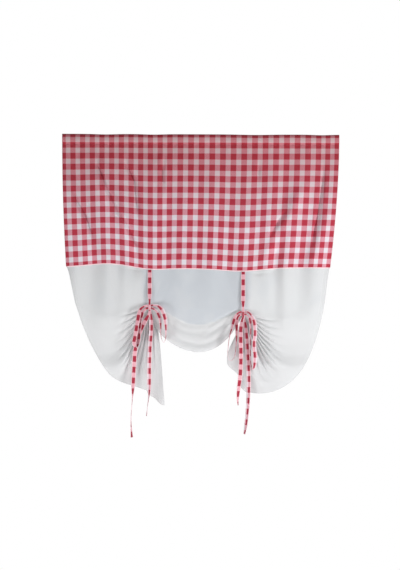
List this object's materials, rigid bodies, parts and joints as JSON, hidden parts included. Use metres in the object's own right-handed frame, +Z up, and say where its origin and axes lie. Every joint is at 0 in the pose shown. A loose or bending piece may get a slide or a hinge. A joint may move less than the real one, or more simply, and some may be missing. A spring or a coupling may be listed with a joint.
{
  "type": "tie-up curtain",
  "caption": "Sheer tie-up curtain with a gingham top panel, a rod pocket, and a voile panel lifted by tied bows into a swag between two tails.",
  "frame": {"origin": "middle of the rod pocket's axis, where a curtain rod's axis passes", "axes": "+X along the rod to the viewer's right, +Y from the front of the curtain towards the window, +Z up"},
  "size_m": [1.302, 0.0845, 1.4234],
  "materials": {
    "gingham": "woven cotton in red and white gingham, matte",
    "voile": "white polyester voile, sheer, matte"
  },
  "bodies": {
    "root": {"gingham_panel": "gingham", "sheer_panel": "voile", "left_front_tie": "gingham", "left_rear_tie": "gingham", "right_front_tie": "gingham", "right_rear_tie": "gingham"}
  },
  "joints": []
}
